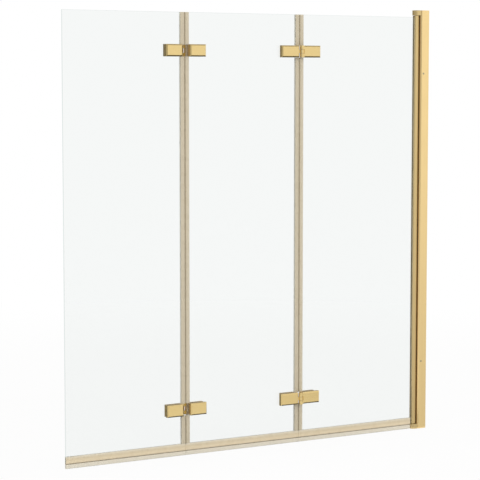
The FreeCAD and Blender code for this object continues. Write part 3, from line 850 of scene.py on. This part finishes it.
@dataclass
class GlassPanel:
    """One glass panel with its seals and the hinge parts clamped on it."""

    body: Body
    name: str
    edges: tuple[str, ...]
    extras: dict[str, bpy.types.Material] = field(default_factory=dict)

    def build(self) -> None:
        """Dress the nodes of the panel."""
        dress(f"{self.name}_glass", MATERIALS[Slot.GLASS])
        dress(f"{self.name}_bottom_seal", FOOT_SEAL)
        for edge in self.edges:
            dress(f"{edge}_edge_seal", MATERIALS[Slot.SEAL])
            dress(f"{edge}_clamp_plates", MATERIALS[Slot.STEEL])
            dress(f"{edge}_hinge_screws", MATERIALS[Slot.STEEL])
            dress(f"{edge}_glass_pads", MATERIALS[Slot.NYLON])
            for level in ("lower", "upper"):
                dress(f"{edge}_hinge_leaf_{level}", MATERIALS[Slot.HINGE])
                dress(f"{edge}_hinge_cover_{level}", MATERIALS[Slot.HINGE])
        for node, material in self.extras.items():
            dress(node, material)
        log.info("%s dressed", self.body.value)


@dataclass
class FoldLine:
    """Pins and bushes of one fold."""

    name: str

    def build(self) -> None:
        """Dress the pins and bushes."""
        for level in ("lower", "upper"):
            dress(f"{self.name}_pin_{level}", MATERIALS[Slot.STEEL])
        dress(f"{self.name}_bushes", MATERIALS[Slot.NYLON])
        log.info("%s dressed", self.name)


# Studio


def stand(thing: bpy.types.Object, place: Sequence[float], way: Vector) -> None:
    """Stand a lamp or card at a place and turn it.

    Args:
        thing: Lamp or card.
        place: Where it stands.
        way: Direction that it faces.
    """
    thing.location = place
    thing.rotation_euler = way.to_track_quat("-Z", "Y").to_euler()


@dataclass(frozen=True)
class Card:
    """Grey card that shows only where satin surfaces mirror it.

    Its grey goes from shade to far_shade at its front end, where that is given.
    """

    name: str
    place: Place
    facing: Facing
    size: tuple[float, float]
    shade: float
    far_shade: float | None = None

    def build(self) -> None:
        """Add the card, hidden from the camera and from smooth glass."""
        bench = Bench(self.name).start(bpy.ops.mesh.primitive_plane_add, size=1.0)
        bench.made.scale = (*self.size, 1.0)
        stand(bench.made, self.place, Vector(self.facing.value))
        material, shader = new_material(self.name)
        far_shade = self.shade if self.far_shade is None else self.far_shade
        near, far = ((level,) * 3 for level in (self.shade, far_shade))
        grey = shader.glow(shader.mix(0.5 - shader.axes("Object")[1], near, far))
        shader.surface(shader.blend(shader.ray(["Is Singular Ray"]), grey, shader.clear()))
        bench.made.data.materials.append(material)
        bench.made.visible_camera = False
        bench.made.visible_diffuse = False
        bench.made.visible_transmission = False
        bench.made.visible_shadow = False


CARDS = (
    # at the left, mirrored in the flanks and bevels that look that way
    Card("rear_left_card", (-2.4, 2.8, 1.5), Facing.FRONT, (3.2, 3.4), 0.16),
    Card("left_card", (-4.3, -0.4, 1.5), Facing.RIGHT, (6.6, 3.4), 0.46),
    Card("front_left_card", (-3.5, -4.6, 1.5), Facing.REAR, (4.2, 3.4), 0.52),
    # on the floor below and behind, mirrored in what looks down
    Card("low_card", (-0.81, 0.13, 0.004), Facing.UP, (1.38, 0.5), 0.06),
    Card("left_floor_card", (-1.25, 0.8, 0.005), Facing.UP, (1.1, 0.8), 0.12),
    # above and behind, mirrored in what looks up
    Card("high_card", (0.35, 0.35, 3.2), Facing.DOWN, (2.2, 1.5), 0.4),
    Card("rear_right_card", (0.9, 2.6, 0.75), Facing.FRONT, (1.8, 1.5), 0.25),
    # on the floor in front, mirrored in what looks forwards, so that the gold darkens towards the foot
    Card("front_floor_card", (0.8, -4.6, 0.003), Facing.UP, (5.6, 8.6), 0.88, 0.98),
    Card("right_floor_card", (2.52, -4.2475, 0.0035), Facing.UP, (5.26, 8.465), 0.67, 0.86),
)


@dataclass
class Studio:
    """Floor, backdrop, lamps, cards and camera."""

    seat: Place = (-3.3866, -4.7159, 1.1463)
    yaw: float = 29.643
    tilt: float = 5.1406
    lens: float = 131.37
    sensor: float = 36.0
    sight: float = 60.0
    middle: Place = (-0.65, 0.0, 0.7)
    floor_radius: float = 9.0
    floor_sides: int = 96
    floor_height: float = -0.5 * MM
    floor_colours: tuple[Colour, Colour] = ((0.86, 0.86, 0.85), (0.88, 0.88, 0.875))
    floor_roughness: float = 0.75
    floor_gloss: float = 0.2
    grain_size: float = 0.4
    white_share: float = 0.92
    white_span: Span = (1.2, 14.0)
    soft_colour: Colour = (1.0, 0.99, 0.98)
    soft_light: float = 0.84
    lamp_size: float = 2.6
    key_place: Place = (2.2, -3.4, 3.4)
    key_light: float = 30.0
    fill_place: Place = (-3.6, -2.6, 2.6)
    fill_light: float = 29.0
    backdrop_rays: tuple[str, ...] = ("Is Camera Ray", "Is Glossy Ray", "Is Transmission Ray")

    def build(self) -> None:
        """Set the scene's look, then add all of it."""
        bpy.context.scene.view_settings.view_transform = "Standard"
        self.camera()
        self.world()
        self.floor()
        self.lamp("key_lamp", self.key_place, self.key_light)
        self.lamp("fill_lamp", self.fill_place, self.fill_light)
        for card in CARDS:
            card.build()

    def camera(self) -> None:
        """Add the camera where the photograph was taken from."""
        lens = bpy.data.cameras.new("camera")
        lens.lens = self.lens
        lens.sensor_width = self.sensor
        lens.clip_end = self.sight
        camera = bpy.data.objects.new("camera", lens)
        camera.location = self.seat
        camera.rotation_euler = (math.radians(90.0 - self.tilt), 0.0, math.radians(-self.yaw))
        bpy.context.collection.objects.link(camera)
        bpy.context.scene.camera = camera

    def world(self) -> None:
        """Light softly from all round, before a white backdrop."""
        world = bpy.data.worlds.new("studio")
        bpy.context.scene.world = world
        world.use_nodes = True
        shader = Shader(world.node_tree)
        light, white = (
            shader.node("ShaderNodeBackground", inputs={"Color": colour, "Strength": strength}).outputs[0]
            for colour, strength in ((self.soft_colour, self.soft_light), (WHITE, 1.0)))
        mixed = shader.blend(shader.ray(self.backdrop_rays), light, white)
        shader.node("ShaderNodeOutputWorld", inputs={"Surface": mixed})

    def floor(self) -> None:
        """Add a pale round floor that fades into the backdrop."""
        bench = Bench("floor").start(
            bpy.ops.mesh.primitive_circle_add, vertices=self.floor_sides, radius=self.floor_radius,
            fill_type="NGON", location=(self.middle[0], self.middle[1], self.floor_height))
        material, shader = new_material("pale_floor")
        colour = shader.mix(shader.noise(self.grain_size, detail=2.0), *self.floor_colours)
        lit = shader.principled(
            Base_Color=colour, Roughness=self.floor_roughness, Specular_IOR_Level=self.floor_gloss)
        along, across = shader.axes("Object")[:2]
        along = along - self.middle[0]
        away = (along * along + across * across).above(*self.white_span)
        share = (self.white_share + away * (1.0 - self.white_share)) * shader.ray(self.backdrop_rays)
        shader.surface(shader.blend(share, lit, shader.glow(WHITE)))
        bench.made.data.materials.append(material)

    def lamp(self, name: str, place: Place, power: float) -> None:
        """Add a soft square lamp that faces the middle of the screen.

        Args:
            name: Name of the lamp.
            place: Where it stands.
            power: Power in watts.
        """
        light = bpy.data.lights.new(name, "AREA")
        light.size = self.lamp_size
        light.energy = power
        lamp = bpy.data.objects.new(name, light)
        bpy.context.collection.objects.link(lamp)
        stand(lamp, place, Vector(self.middle) - Vector(place))
        lamp.visible_glossy = False
        lamp.visible_camera = False


def main() -> None:
    """Build the sub-assemblies in order, then the studio."""
    logging.basicConfig(level=logging.INFO, format="%(message)s")
    WallSide().build()
    # the pivot profile takes the darker gold, partly painted shade
    GlassPanel(Body.INNER, "inner", ("inner_left",), {
        "pivot_profile": SHADED_PIVOT_GOLD, "pivot_bushes": MATERIALS[Slot.NYLON],
        "glazing_gaskets": CLEAR_GASKET}).build()
    GlassPanel(Body.MIDDLE, "middle", ("middle_right", "middle_left")).build()
    GlassPanel(Body.OUTER, "outer", ("outer_right",)).build()
    for fold in ("inner_fold", "outer_fold"):
        FoldLine(fold).build()
    Studio().build()


if __name__ == "__main__":
    main()
